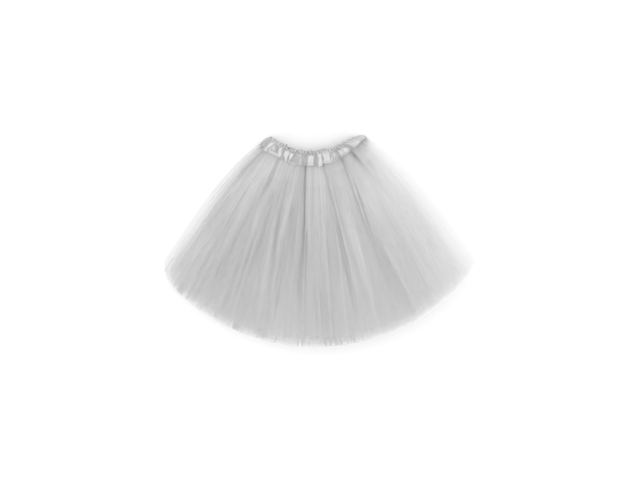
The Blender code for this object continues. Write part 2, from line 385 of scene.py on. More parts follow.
@dataclass(frozen=True)
class PolyesterSatin(Finish):
    """Polyester satin: long smooth floats that hide the weave.

    The shine where a pucker turns the floats to the light and the dullness in the creases are
    painted into the colour, between a lit and a painted shade colour, as the "crease" attribute
    says.
    """

    # the colours between which the satin's painted highlights and painted shade are mixed
    lit_colour: str
    painted_shade_colour: str
    cut_width: float
    cut_length: float
    float_pitch_mm: float = 0.9  # the real floats are about 0.2 mm apart, too fine to show
    float_length: float = 4.0  # in pitches
    float_octaves: float = 2.0
    float_fineness: float = 0.5
    float_tone: float = 0.10
    weave_relief_mm: float = 0.02
    roughness: float = 0.34
    specular: float = 0.6
    anisotropy: float = 0.45
    sheen: float = 0.1

    def inputs(self, tree: bpy.types.NodeTree) -> dict[str, Any]:
        """The shader's inputs. The weave follows the cloth's own UV map.

        Args:
            tree: the material's node tree.

        Returns:
            Each input's value or source by name.
        """
        uv = add_node(tree, "ShaderNodeUVMap", uv_map="cut")
        along = self.cut_width / MM / self.float_pitch_mm / self.float_length
        size = (along, self.cut_length / MM / self.float_pitch_mm, 1)
        weave = {
            "Vector": add_node(tree, VECTOR_MATHS, (uv, size), operation="MULTIPLY"),
            "Scale": 1.0,
            "Detail": self.float_octaves,
            "Roughness": self.float_fineness,
        }
        floats = add_node(tree, "ShaderNodeTexNoise", weave)
        crease = add_node(tree, "ShaderNodeAttribute", attribute_name="crease").outputs["Fac"]
        # Painted light: from a crease of 1 to a ridge of -1, the colour goes from the painted shade
        # to the painted highlight.
        turned = (crease, -0.5, 0.5 - self.float_tone / 2)
        lit = add_node(tree, MATHS, turned, operation="MULTIPLY_ADD")
        lit = add_node(tree, MATHS, (floats, self.float_tone, lit), operation="MULTIPLY_ADD")
        colours = {"Factor": lit, 6: linear(self.painted_shade_colour), 7: linear(self.lit_colour)}
        relief = {"Height": floats, "Distance": self.weave_relief_mm * MM, "Strength": 1.0}
        return {
            "Base Color": add_node(tree, "ShaderNodeMix", colours, data_type="RGBA").outputs[2],
            "Roughness": self.roughness,
            "Specular IOR Level": self.specular,
            "Anisotropic": self.anisotropy,
            "Sheen Weight": self.sheen,
            "Normal": add_node(tree, "ShaderNodeBump", relief),
            "Tangent": add_node(
                tree, "ShaderNodeTangent", direction_type="UV_MAP", uv_map="cut"
            ),
        }


@dataclass(frozen=True)
class SpunThread(Finish):
    """Spun polyester sewing thread: matt, with a twist that shows as fine slanted ridges."""

    colour: str
    twist_pitch_mm: float = 0.8
    twist_relief_mm: float = 0.05
    twist_strength: float = 0.6
    wave_length: float = 0.314  # metres from band to band of a Wave Texture whose scale is 1
    roughness: float = 0.7

    def inputs(self, tree: bpy.types.NodeTree) -> dict[str, Any]:
        """The shader's inputs.

        Args:
            tree: the material's node tree.

        Returns:
            Each input's value or source by name.
        """
        bands = {
            "Vector": add_node(tree, "ShaderNodeTexCoord").outputs["Object"],
            "Scale": self.wave_length / (self.twist_pitch_mm * MM),
        }
        twist = add_node(tree, "ShaderNodeTexWave", bands, bands_direction="DIAGONAL")
        relief = {
            "Height": twist.outputs["Fac"],
            "Distance": self.twist_relief_mm * MM,
            "Strength": self.twist_strength,
        }
        return {
            "Base Color": linear(self.colour),
            "Roughness": self.roughness,
            "Normal": add_node(tree, "ShaderNodeBump", relief),
        }


@dataclass(frozen=True)
class StudioPaper(Finish):
    """Matt white background paper, so plain that only light falls on it."""

    colour: str = "#F4F4F4"
    roughness: float = 0.9
    specular: float = 0.1

    def inputs(self, tree: bpy.types.NodeTree) -> dict[str, Any]:
        """The shader's inputs.

        Args:
            tree: the material's node tree.

        Returns:
            Each input's value or source by name.
        """
        return {
            "Base Color": linear(self.colour),
            "Roughness": self.roughness,
            "Specular IOR Level": self.specular,
        }


# ---------------------------------------------------------------- the garment's plan


@dataclass(frozen=True)
class BandPlan:
    """The waistband from above: a strip bent about a point beyond the waist."""

    centre: Vector = field(default_factory=lambda: Vector((-12.6 * MM, 328.0 * MM)))
    top_radius: float = 145.0 * MM
    full_height: float = 31.0 * MM
    right_loss: float = 8.5 * MM  # height that it loses where it rolls under at the right
    roll: Ramp = Ramp(0.30, 0.50)
    left_angle: float = -37.0 * DEGREE
    right_angle: float = 38.5 * DEGREE
    lower_spread: float = 2.0 * DEGREE
    left_bulge: float = 1.6 * DEGREE
    right_bulge: float = 3.2 * DEGREE

    def height(self, across: float) -> float:
        """The band's height from its top fold to its lower edge."""
        return self.full_height - self.right_loss * self.roll.at(across)

    def place(self, across: float, down: float) -> Vector:
        """Where a point of the band lies, seen from above.

        Args:
            across: the share across.
            down: the share down.

        Returns:
            The point.
        """
        bulge = self.left_bulge if across < 0 else self.right_bulge
        spread = self.lower_spread * down + bulge * (1 - (2 * down - 1) ** 2)
        angle = mix(self.left_angle, self.right_angle, (across + 1) / 2) + across * spread
        return polar(self.centre, self.top_radius + self.height(across) * down, angle)

    def half_width(self, down: float) -> float:
        """Half the arc's length at a share down."""
        radius = self.top_radius + self.full_height * down
        return (self.right_angle - self.left_angle) / 2 * radius


@dataclass(frozen=True)
class FanPlan:
    """One tulle layer from above: a fan whose sides bow out."""

    band: BandPlan
    hem_radius: float
    left_angle: float
    right_angle: float
    waist_inset: float
    centre: Vector = field(default_factory=lambda: Vector((-9.6 * MM, 188.3 * MM)))
    waist_left_angle: float = -39.5 * DEGREE
    waist_right_angle: float = 41.5 * DEGREE
    seam_allowance: float = 8.0 * MM
    left_bulge: float = 14.0 * MM
    right_bulge: float = 19.0 * MM
    bulge_rise: float = 0.7
    left_corner_cut: float = 0.045
    right_corner_cut: float = 0.006
    corner_start: float = 0.86

    def hem_reach(self, across: float) -> float:
        """The hem's radius, less what it loses in rounding off at the two corners.

        Args:
            across: the share across.

        Returns:
            The radius there.
        """
        cut = self.left_corner_cut if across < 0 else self.right_corner_cut
        corner = max(abs(across) - self.corner_start, 0) / (1 - self.corner_start)
        return self.hem_radius * (1 - cut * corner * corner)

    def place(self, across: float, down: float) -> Vector:
        """Where a point of the layer lies, seen from above.

        Args:
            across: the share across.
            down: the share down.

        Returns:
            The point.
        """
        waist_radius = self.band.top_radius + self.band.height(across) - self.seam_allowance
        waist_angle = mix(self.waist_left_angle, self.waist_right_angle, (across + 1) / 2)
        waist = polar(self.band.centre, waist_radius, waist_angle - self.waist_inset * across)
        hem_angle = mix(self.left_angle, self.right_angle, (across + 1) / 2)
        hem = polar(self.centre, self.hem_reach(across), hem_angle)
        line = hem - waist
        outward = Vector((-line.y, line.x)).normalized()
        bulge = self.left_bulge if across < 0 else self.right_bulge
        bow = bulge * math.sin(math.pi * max(down, 0.0) ** self.bulge_rise) * across**3
        return waist + line * down + outward * bow

    def half_width(self, down: float) -> float:
        """About half the layer's width at a share down.

        Args:
            down: the share down.

        Returns:
            Half the width in metres.
        """
        waist = (self.waist_right_angle - self.waist_left_angle) / 2 - self.waist_inset
        at_waist = waist * (self.band.top_radius + self.band.full_height - self.seam_allowance)
        at_hem = (self.right_angle - self.left_angle) / 2 * self.hem_radius
        return mix(at_waist, at_hem, down)


class Half(Enum):
    """Which half of a laid tube a point is on."""

    FRONT = "front"
    BACK = "back"


@dataclass(frozen=True)
class LoopPoint:
    """A column of a tube: where it is across, and how far it has turned from front to back."""

    across: float
    turn: float  # 0 on the front, 1 on the back, between where the side fold turns


def tube_columns(front: int, back: int, side: int) -> list[LoopPoint]:
    """The columns round a laid tube, from the left side fold over the front and back again.

    Args:
        front: how many columns the front half has.
        back: how many columns the back half has.
        side: how many columns turn each side fold.

    Returns:
        The columns in order, the last on the same place as the first.
    """
    points = [LoopPoint(mix(-1, 1, i / front), 0.0) for i in range(front + 1)]
    points += [LoopPoint(1, (i + 1) / (side + 1)) for i in range(side)]
    points += [LoopPoint(mix(1, -1, i / back), 1.0) for i in range(back + 1)]
    points += [LoopPoint(-1, 1 - (i + 1) / (side + 1)) for i in range(side)]
    points.append(points[0])
    return points


@dataclass(frozen=True)
class ClothPoint:
    """A point of cloth: its place, how many thicknesses lie there and how deep in a crease."""

    place: Vector
    gathering: float = 1.0
    crease: float = 0.0  # 1 in a deep crease, below 0 on a ridge; it paints shade or light into the colour
    streaks: float = 1.0  # how plainly the finest creases show


Surface = Callable[[LoopPoint, float], ClothPoint]
HalfSurface = Callable[[float, float], ClothPoint]


@dataclass(frozen=True)
class Tube:
    """A cloth tube laid flat: its two halves, and the side folds that turn between them."""

    plan: BandPlan | FanPlan
    front: HalfSurface  # gives a point of cloth from its shares across and down
    back: HalfSurface
    bulge: float  # how far the side folds stand out past the plan
    step: float = 1.01  # a share across just past a side, which shows which way is outward

    def at(self, column: LoopPoint, down: float) -> tuple[Vector, ClothPoint, ClothPoint]:
        """A point of a side fold.

        Args:
            column: the column of the tube.
            down: the share down.

        Returns:
            Its place, and the points of the front and the back half that it lies between.
        """
        across, turn = column.across, column.turn
        front, back = self.front(across, down), self.back(across, down)
        place = front.place.lerp(back.place, (1 - math.cos(math.pi * turn)) / 2)
        outward = self.plan.place(across * self.step, down) - self.plan.place(across, down)
        place += outward.normalized().to_3d() * self.bulge * math.sin(math.pi * turn)
        return place, front, back


def build_tube(
    name: str,
    columns: list[LoopPoint],
    rows: int,
    surface: Surface,
    material: bpy.types.Material,
) -> bpy.types.Object:
    """Makes a cloth tube from a grid that is bent round and closed.

    Args:
        name: the piece's name.
        columns: the columns round the tube.
        rows: how many faces it has from top to bottom.
        surface: gives each point of the cloth.
        material: its finish.

    Returns:
        The piece, with a UV map "cut" and the attributes "gathering", "crease" and "streaks".
    """
    mesh = bmesh.new()
    count = len(columns) - 1
    bmesh.ops.create_grid(mesh, x_segments=count, y_segments=rows, size=1)
    cut = mesh.loops.layers.uv.new("cut")
    gathering = mesh.verts.layers.float.new("gathering")
    crease = mesh.verts.layers.float.new("crease")
    streaks = mesh.verts.layers.float.new("streaks")
    for face in mesh.faces:
        for corner in face.loops:
            corner[cut].uv = ((corner.vert.co.x + 1) / 2, (1 - corner.vert.co.y) / 2)
    for vertex in mesh.verts:
        column = columns[round((vertex.co.x + 1) / 2 * count)]
        point = surface(column, (1 - vertex.co.y) / 2)
        vertex.co = point.place
        vertex[gathering] = point.gathering
        vertex[crease] = point.crease
        vertex[streaks] = point.streaks
    bmesh.ops.remove_doubles(mesh, verts=mesh.verts, dist=CLOSING)
    return add_piece(name, mesh, material)


# ---------------------------------------------------------------- tulle


@dataclass(frozen=True)
class FoldPoint:
    """Where a long fold runs, and how deep it is there."""

    down: float
    across: float
    depth: float  # 1 is the deepest crease; below 0 it is a ridge


@dataclass(frozen=True)
class Fold:
    """A long fold: a crease where the net is pinched, darkened with painted shade, or a ridge,
    lightened with a painted highlight.
    """

    left: float  # how far it fades out to its left and to its right, which makes a sharp side
    right: float
    points: tuple[FoldPoint, ...]

    def at(self, down: float) -> tuple[float, float]:
        """Where the fold runs.

        Args:
            down: the share down.

        Returns:
            The share across and the depth.
        """
        down = clamp(down, self.points[0].down, self.points[-1].down)
        for low, high in zip(self.points, self.points[1:]):
            if down <= high.down:
                break
        share = (down - low.down) / (high.down - low.down)
        return mix(low.across, high.across, share), mix(low.depth, high.depth, share)


@dataclass(frozen=True)
class LayerShape:
    """The form of one tulle layer: what its solids have, and the finer gathers over it."""

    order: int  # layers below its back half
    hem_radius: float
    left_angle: float
    right_angle: float
    waist_inset: float
    heights: Table
    flutes: int
    flute_depth: float
    gathers: int
    front_columns: int
    back_columns: int
    rows: int
    seed: int
    gather_depth: float = 0.35 * MM


@dataclass
class TulleLayer:
    """A gathered tulle tube laid flat: a fluted front half arched over a flat back half."""

    name: str
    shape: LayerShape
    finish: NylonTulle
    left_cover: Table  # thicknesses of net, by millimetres in from the left side fold
    right_cover: Table  # the same from the right side fold
    hem_fade: float  # metres up from the hem over which the net reaches that cover
    fold_share: float  # how much of the long folds' depth the layer shows
    front_folds: tuple[Fold, ...]
    back_folds: tuple[Fold, ...]
    band: BandPlan = field(default_factory=BandPlan)
    wall: float = 1.0 * MM
    gap: float = 0.3 * MM
    layer_gap: float = 0.42 * MM
    seam_lift: float = 0.35 * MM
    band_back: float = 2.0 * MM
    shoulder: float = 0.30
    least_arch: float = 0.3  # what small folds keep of their height at the sides
    edge: Ramp = Ramp(0, 0.08)  # how small folds begin, by share in from a side
    step: Ramp = Ramp(0.035, 0.115)  # where the back comes down from the band to the floor
    flute_growth: Table = steady((0.03, 0), (0.16, 0.25), (0.5, 0.4), (0.85, 0.7), (1, 0.75))
    spacing: Waves = (Wave(0.018, 9.0, 0.6), Wave(0.009, 23.0), Wave(0.008, 53.0, 2.0))
    wander: Wave = Wave(0.010, 5.0, slant=3.0)
    mean_depth: float = 0.5
    depths: Waves = (Wave(0.18, 17.0, 1.0), Wave(0.14, 41.0), Wave(0.14, 67.0, 2.0))
    flute_pinch: float = 0.2  # how far the flutes' troughs close up
    shift: float = 0.8  # how far gathers move out of line, in gathers
    shift_rate: float = 0.37
    shift_steps: tuple[float, ...] = (1.0, 2.3, 4.1)
    mean_size: float = 0.62
    least_size: float = 0.12
    size_swing: float = 0.38
    size_rates: tuple[float, ...] = (0.23, 0.61)
    drift: Wave = Wave(1.2, 6.0)  # how far gathers run aslant, in gathers
    lean: Wave = Wave(0.9, 4.3)  # which way they lap over each other
    front_fullness: Table = steady((0, 3.0), (0.15, 2.4), (0.45, 1.7), (0.8, 1.0), (1, 0.6))
    back_fullness: Table = steady((0, 4.4), (0.15, 4.0), (0.5, 3.6), (1, 3.0))
    gather_rise: Table = steady((0, 0.6), (0.08, 1.0), (0.45, 0.7), (1, 0.25))
    # painted shade in the small folds' creases and painted light on their tops, by share down
    gather_crease: Table = steady((0, 0.14), (0.15, 0.09), (0.5, 0.06), (1, 0.03))
    # painted shade on the net just under the band, by share down
    band_shade: Table = steady(
        (0, 0.13), (0.02, 0.14), (0.036, 0.08), (0.055, 0.02), (0.07, 0)
    )
    gather_density: float = 0.12
    fold_strength: Table = steady((0, 0.75), (0.15, 0.85), (0.4, 1.0), (0.7, 1.1), (1, 0.7))
    fold_drop: float = 1.0 * MM
    fold_density: float = 0.8
    fold_spread: float = 1.0  # moves the long folds out, to lie under the layer's above
    fold_shift: float = 0.0  # moves them to the right, all of it at the hem
    ridge_density: float = 0.4
    back_ripple: float = 0.3 * MM
    side_turn: float = 0.8 * MM  # how far the side folds bulge past the solids' edges
    side_density: float = 1.3
    left_waist_cover: Table = steady(
        (0, 2.4), (0.08, 2.1), (0.18, 1.8), (0.32, 1.5), (0.6, 1.0)
    )
    right_waist_cover: Table = steady(
        (0, 4.0), (0.03, 2.6), (0.08, 1.3), (0.2, 0.95), (0.6, 1.0)
    )
    to_the_right: Ramp = Ramp(-0.1, 0.5)
    plain_cover: float = 1.3  # where the net is thinner than this, its creases show less
    streak_depth: Table = steady((0, 1.0), (0.5, 0.85), (1, 0.45))
    calm: float = 0.7  # how much smoother the net lies at the right
    calm_start: Ramp = Ramp(0.12, 0.4)
    skirt_length: float = 0.95  # from waist to hem, as a share of the hem's radius
    hem_cover: float = 0.35  # share of the cover at the very hem
    hem_ripple: float = 0.9 * MM
    hem_edge: Ramp = Ramp(0.9, 0.1)  # where the hem's ripple begins, by share down
    hem_shape: Waves = (Wave(0.6, 19.0), Wave(0.5, 47.0), Wave(0.3, 113.0), Wave(0.15, 240.0))
    back_ripples: float = 2.0  # how far the ripple moves on from the front to the back
    side_columns: int = 5

    def __post_init__(self) -> None:
        """Works out the plan and the layer's own uneven numbers."""
        self.fold_cache: dict[tuple[float, Half], list[tuple[float, float, Fold]]] = {}
        shape = self.shape
        self.plan = FanPlan(
            self.band, shape.hem_radius, shape.left_angle, shape.right_angle, shape.waist_inset
        )
        self.tube = Tube(self.plan, self.front_point, self.back_point, self.side_turn)
        chance = random.Random(shape.seed)
        rate = shape.gathers * self.shift_rate
        self.gather_spacing = tuple(
            Wave(self.shift / shape.gathers / math.sqrt(k), rate * k, chance.random() * TURN)
            for k in self.shift_steps
        )
        self.gather_sizes = tuple(
            Wave(self.size_swing, shape.gathers * k, chance.random() * TURN)
            for k in self.size_rates
        )
        drift = self.drift.height / shape.gathers
        self.gather_drift = Wave(drift, self.drift.rate, chance.random() * TURN)
        self.gather_lean = Wave(self.lean.height, self.lean.rate, shape.seed)
        self.hem_waves = tuple(
            Wave(self.hem_ripple * wave.height, wave.rate, chance.random() * TURN)
            for wave in self.hem_shape
        )

    def back_height(self, down: float) -> float:
        """The middle of the back half's wall."""
        lift = self.shape.order * (self.wall + self.layer_gap) + self.wall / 2
        return (1 - self.step.at(down)) * (self.band_back + self.gap) + lift

    def flute_turns(self, across: float, down: float) -> float:
        """Turns of the flute wave from the left side fold.

        Args:
            across: the share across.
            down: the share down.

        Returns:
            The turns, with a fraction.
        """
        uneven = add_up(self.spacing, across)
        wander = self.wander.at(across, down)
        return (across + uneven + wander * down + 1) / 2 * self.shape.flutes

    def gather(self, across: float, down: float, half: Half) -> tuple[float, float, float]:
        """The small folds that the waist seam presses into the net, lapping over each other.

        Args:
            across: the point's share across.
            down: its share down.
            half: the half it is on, which has its own folds.

        Returns:
            The sideways move as a share of a gather's length, the rise as a share of the
            gather's depth, and how deep in a crease the point lies.
        """
        side = 1 if half is Half.FRONT else -1
        place = across + self.gather_drift.at(down * side + across) * down
        place += add_up(self.gather_spacing, across * side)
        angle = math.pi * (place + 1) * self.shape.gathers
        size = self.mean_size + add_up(self.gather_sizes, place)
        size = clamp(size, self.least_size) * self.smoothness(across)
        table = self.front_fullness if half is Half.FRONT else self.back_fullness
        lean = angle + self.gather_lean.at(place * side)
        slide = read(table, down) * size * math.sin(lean) / TURN
        rise = math.cos(angle) * size * read(self.gather_rise, down)
        return slide, rise, -size * math.cos(lean)

    def folds_at(self, down: float, half: Half) -> list[tuple[float, float, Fold]]:
        """Where the long folds run.

        Args:
            down: the share down.
            half: the half of the layer.

        Returns:
            The share across, the depth and the fold, for each one that shows.
        """
        key = (round(down, SHARE_DIGITS), half)
        if key not in self.fold_cache:
            folds = self.front_folds if half is Half.FRONT else self.back_folds
            strength = read(self.fold_strength, down) * self.fold_share
            shift = self.fold_shift * down
            found = [(*fold.at(key[0]), fold) for fold in folds]
            self.fold_cache[key] = [
                (at * self.fold_spread + shift, depth * strength, fold)
                for at, depth, fold in found
                if depth
            ]
        return self.fold_cache[key]

    def crease(self, across: float, down: float, half: Half) -> float:
        """How deep in the long folds a point lies.

        Args:
            across: the share across.
            down: the share down.
            half: the half of the layer.

        Returns:
            The depth, below 0 on a ridge.
        """
        half_width = self.plan.half_width(down)
        crease = 0.0
        for middle, depth, fold in self.folds_at(down, half):
            width = fold.left if across < middle else fold.right
            offset = (across - middle) * half_width / width
            if abs(offset) < FADED:
                crease += depth * bell(offset)
        return crease

    def cover(self, across: float, down: float) -> float:
        """The net at a point, thinner towards the side folds and the hem.

        Args:
            across: the share across.
            down: the share down.

        Returns:
            The thicknesses.
        """
        inward = (1 - abs(across)) * self.plan.half_width(down) / MM
        up = (1 - down) * self.shape.hem_radius * self.skirt_length
        at_hem = mix(self.hem_cover, 1, smooth(up / self.hem_fade))
        cover = read(self.left_cover if across < 0 else self.right_cover, inward)
        left, right = read(self.left_waist_cover, down), read(self.right_waist_cover, down)
        return cover * at_hem * mix(left, right, self.to_the_right.at(across))

    def smoothness(self, across: float) -> float:
        """How plainly small folds show, which is less towards the right side."""
        return 1 - self.calm * self.calm_start.at(across)

    def pack(
        self, spot: tuple[float, float], height: float, crease: float, pressed: float
    ) -> ClothPoint:
        """A point of cloth, with the thicknesses of net that its place and its creases give it.

        Args:
            spot: its shares across and down.
            height: how high it is above the floor.
            crease: how deep it is in a long fold.
            pressed: how deep it is in a small one.

        Returns:
            The point of cloth.
        """
        across, down = spot
        cover = self.cover(across, down)
        density = self.fold_density * crease if crease > 0 else -self.ridge_density * crease
        density = (density + self.gather_density * pressed) * min(1, cover / self.plain_cover) ** 2
        streaks = read(self.streak_depth, down) * self.smoothness(across)
        # Painted shade under the band and in the small folds joins the long folds'.
        crease += read(self.gather_crease, down) * pressed + read(self.band_shade, down)
        place = self.plan.place(across, down)
        return ClothPoint(Vector((*place, height)), cover * (1 + density), crease, streaks)

    def front_point(self, across: float, down: float) -> ClothPoint:
        """A point of the front half.

        Args:
            across: the share across, before the folds move it.
            down: the share down.

        Returns:
            The point of cloth.
        """
        shape = self.shape
        half_width = self.plan.half_width(down)
        seam = self.back_height(down) + self.wall + self.gap + self.seam_lift
        climb = arch(across, self.shoulder)
        level = mix(seam, read(shape.heights, down), climb)
        growth = read(self.flute_growth, down) * climb
        unevenness = self.mean_depth + add_up(self.depths, across)
        angle = TURN * self.flute_turns(across, down)
        rise = shape.flute_depth * math.cos(angle) * unevenness * growth
        slide = self.flute_pinch * half_width / (math.pi * shape.flutes) * growth * math.sin(angle)
        edge = self.edge.at(1 - abs(across))
        small = edge * max(climb, self.least_arch)
        sideways, lift, pressed = self.gather(across, down, Half.FRONT)
        slide += sideways * 2 * half_width / shape.gathers * edge
        across += slide / half_width
        crease = self.crease(across, down, Half.FRONT)
        rise += (lift * shape.gather_depth - self.fold_drop * crease) * small
        return self.pack((across, down), level + rise, crease, pressed)

    def back_point(self, across: float, down: float) -> ClothPoint:
        """A point of the back half.

        Args:
            across: the share across, before the folds move it.
            down: the share down.

        Returns:
            The point of cloth.
        """
        edge = self.edge.at(1 - abs(across))
        sideways, lift, pressed = self.gather(across, down, Half.BACK)
        across += sideways * 2 / self.shape.gathers * edge
        height = self.back_height(down) + lift * self.back_ripple * edge
        return self.pack((across, down), height, self.crease(across, down, Half.BACK), pressed)

    def surface(self, column: LoopPoint, down: float) -> ClothPoint:
        """A point anywhere round the tube.

        Args:
            column: the column of the tube.
            down: the share down.

        Returns:
            The point of cloth.
        """
        across = column.across + self.back_ripples * column.turn
        ripple = add_up(self.hem_waves, across)
        reach = down + ripple / self.plan.hem_radius * self.hem_edge.at(down)
        if column.turn == 0:
            return self.front_point(column.across, reach)
        if column.turn == 1:
            return self.back_point(column.across, reach)
        place, front, _ = self.tube.at(column, reach)
        density = front.gathering * self.side_density
        return ClothPoint(place, density, front.crease, front.streaks)

    def build(self) -> bpy.types.Object:
        """Builds and dresses the layer.

        Returns:
            The layer's piece, riding on the garment.
        """
        shape = self.shape
        columns = tube_columns(shape.front_columns, shape.back_columns, self.side_columns)
        tulle = self.finish.make(f"{self.name}_nylon_tulle")
        piece = build_tube(self.name, columns, shape.rows, self.surface, tulle)
        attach(piece, BODY)
        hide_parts(f"{self.name}_front", f"{self.name}_back")
        return piece


# ---------------------------------------------------------------- waistband


@dataclass(frozen=True)
class Facet:
    """A patch of satin between creases of the gathered channel, with a soft edge all round, painted
    lighter or darker: a painted highlight or painted shade.
    """

    left_top: float  # shares across of its four corners
    right_top: float
    left_bottom: float
    right_bottom: float
    start: float  # shares down between which it lies
    end: float
    light: float  # painted light: 1 a painted highlight, -1 painted shade
    wobble: Wave = Wave(0.008, 57.0, slant=9.0)
    side_fade: float = 0.026
    top_fade: float = 0.12
    bottom_fade: float = 0.08

    def covers(self, across: float, down: float) -> float:
        """How much of the patch a point has.

        Args:
            across: the share across.
            down: the share down.

        Returns:
            1 well inside it, 0 outside, and between at its soft edge.
        """
        share = (down - self.start) / (self.end - self.start)
        wobble = self.wobble.at(self.left_top, down)
        left = mix(self.left_top, self.left_bottom, share) + wobble
        right = mix(self.right_top, self.right_bottom, share) - wobble
        aside = min(across - left, right - across) / self.side_fade
        above, below = (self.end - down) / self.bottom_fade, (down - self.start) / self.top_fade
        return smooth(min(aside, above, below) + 0.5)


@dataclass
class Waistband:
    """The satin casing: a ruffled heading over a channel that the elastic gathers."""

    finish: PolyesterSatin
    front_facets: tuple[Facet, ...]
    back_facets: tuple[Facet, ...]
    heading_edge: Table  # how far the heading stands past the top fold, in band heights
    lower_edge: Table  # the same of the lower edge, past the solids' own
    plan: BandPlan = field(default_factory=BandPlan)
    front_height: float = 18.2 * MM
    shoulder: float = 0.26
    least_arch: float = 0.25  # what folds keep of their height at the ends
    end_height: float = 3.1 * MM
    over_tulle_height: float = 9.2 * MM
    over_tulle: Ramp = Ramp(0.45, 0.3)
    side_edge: Ramp = Ramp(0, 0.05)  # how the ruffle's curl begins, by share in from an end
    back_edge: Ramp = Ramp(0, 0.08)
    back_middle: float = 1.2 * MM
    seam: float = 0.25  # share down of the seam between heading and channel
    seam_waves: Waves = (Wave(0.05, 23.0), Wave(0.03, 61.0, 1.0))
    below_seam: Ramp = Ramp(-0.06, 0.1)
    # painted shade along the seam between the heading and the channel
    seam_shade: float = 0.2
    seam_shade_width: float = 0.04
    groove: float = 0.5 * MM
    groove_width: float = 0.045
    channel_drop: float = 1.3 * MM
    ruffles: float = 26.0
    ruffle_spacing: Waves = (Wave(0.016, 11.0, 1.3), Wave(0.011, 29.0))
    ruffle_depth: Table = steady((0, 1.3 * MM), (0.13, 0.9 * MM), (0.25, 0.2 * MM), (0.4, 0))
    ruffle_mean: float = 0.8
    ruffle_sizes: Waves = (Wave(0.3, 13.0, 2.0), Wave(0.25, 31.0))
    ruffle_lean: float = 0.9
    # painted light and shade over the heading's ruffles
    ruffle_light: float = 0.45
    ruffle_light_phase: float = 0.9
    ruffle_light_slant: float = 11.0
    curls: float = 41.0
    curl_slant: float = 14.0
    curl_wander: Wave = Wave(3.0, 7.0)
    curl_rise: float = 0.4
    # painted light and shade over the heading's curls
    curl_light: float = 0.5
    # painted light levels of the heading and of the channel between its patches
    heading_light: float = -0.5
    base_light: float = -0.5
    # painted light and shade of small puckers, which also lift the cloth a little
    pucker_light: Waves = (Wave(0.13, 97.0, slant=6.0), Wave(0.1, 31.0, slant=-9.0))
    end_pucker_light: Wave = Wave(0.32, 128.0, slant=5.0)
    pucker_ends: Ramp = Ramp(0.8, 0.1)
    swell: Table = steady((0.22, 0), (0.36, 0.9), (0.7, 1.0), (0.92, 0.6), (1, 0.75))
    puff: float = 2.6 * MM  # how far the brightest patches stand above the creases
    bumps: float = 0.022  # share of its height that the heading's edge goes up and down
    bump_rate: float = 83.0
    bump_wander: Wave = Wave(3.0, 11.0)
    end_bumps: float = 1.6
    bump_ends: Ramp = Ramp(0.78, 0.1)
    tuck: float = 2.0 * MM  # how far the lower edge turns down onto the tulle
    end_tuck: float = 6.5 * MM  # the same at its two ends
    tuck_ends: Ramp = Ramp(0.74, 0.16)
    tuck_down: Ramp = Ramp(0.7, 0.3)
    lower_half: Ramp = Ramp(0.5, 0.5)
    back_ends: Ramp = Ramp(0.65, 0.2)  # where the back's lower edge follows the front's
    back_ruffle: float = 1.1 * MM
    # painted light and shade on the back's ruffles and heading
    back_light: float = 0.5
    back_heading_light: float = -0.4
    back_puff: float = 0.1 * MM
    side_turn: float = 0.6 * MM
    front_columns: int = 760
    back_columns: int = 300
    side_columns: int = 6
    rows: int = 44
    wall: float = 0.5 * MM

    def __post_init__(self) -> None:
        """Joins the two halves into a tube."""
        self.tube = Tube(self.plan, self.front_point, self.back_point, self.side_turn)

    def ruffle_turns(self, across: float) -> float:
        """Turns of the heading's ruffle from the left end, uneven."""
        uneven = add_up(self.ruffle_spacing, across)
        return (across + uneven + 1) / 2 * self.ruffles

    def channel(self, facets: tuple[Facet, ...], across: float, down: float, light: float) -> float:
        """The light and shade painted on the channel's satin.

        Args:
            facets: the patches of that half.
            across: the share across.
            down: the share down.
            light: how it would without its patches.

        Returns:
            1 where it is brightest, -1 where it is dullest.
        """
        for facet in facets:
            light = mix(light, facet.light, facet.covers(across, down))
        light += add_up(self.pucker_light, across, down)
        return light + self.pucker_ends.at(abs(across)) * self.end_pucker_light.at(across, down)

    def heading(self, across: float, down: float) -> tuple[float, float, float]:
        """The heading's ruffle at a point.

        Args:
            across: the share across.
            down: the share down.

        Returns:
            The rise and the sideways curl in metres, and the light painted on it.
        """
        angle = TURN * self.ruffle_turns(across)
        fullness = self.ruffle_mean + add_up(self.ruffle_sizes, across)
        ruffle = read(self.ruffle_depth, down) * fullness
        curl = math.pi * self.curls * across + self.curl_slant * down + self.curl_wander.at(across)
        curl = math.sin(curl)
        rise = ruffle * (math.cos(angle) + self.curl_rise * curl)
        lit_angle = angle + self.ruffle_light_phase - self.ruffle_light_slant * down
        light = self.ruffle_light * math.cos(lit_angle) + self.curl_light * curl
        return rise, self.ruffle_lean * ruffle * math.sin(angle), light + self.heading_light

    def front_point(self, across: float, down: float) -> ClothPoint:
        """A point of the band's front.

        Args:
            across: the share across.
            down: the share down.

        Returns:
            The point of cloth.
        """
        outward = abs(across)
        end = mix(self.end_height, self.over_tulle_height, self.over_tulle.at(down))
        climb = arch(across, self.shoulder)
        rise, curl, light = self.heading(across, down)
        below = down - self.seam - add_up(self.seam_waves, across)
        share = self.below_seam.at(below)
        light = mix(light, self.base_light, share)
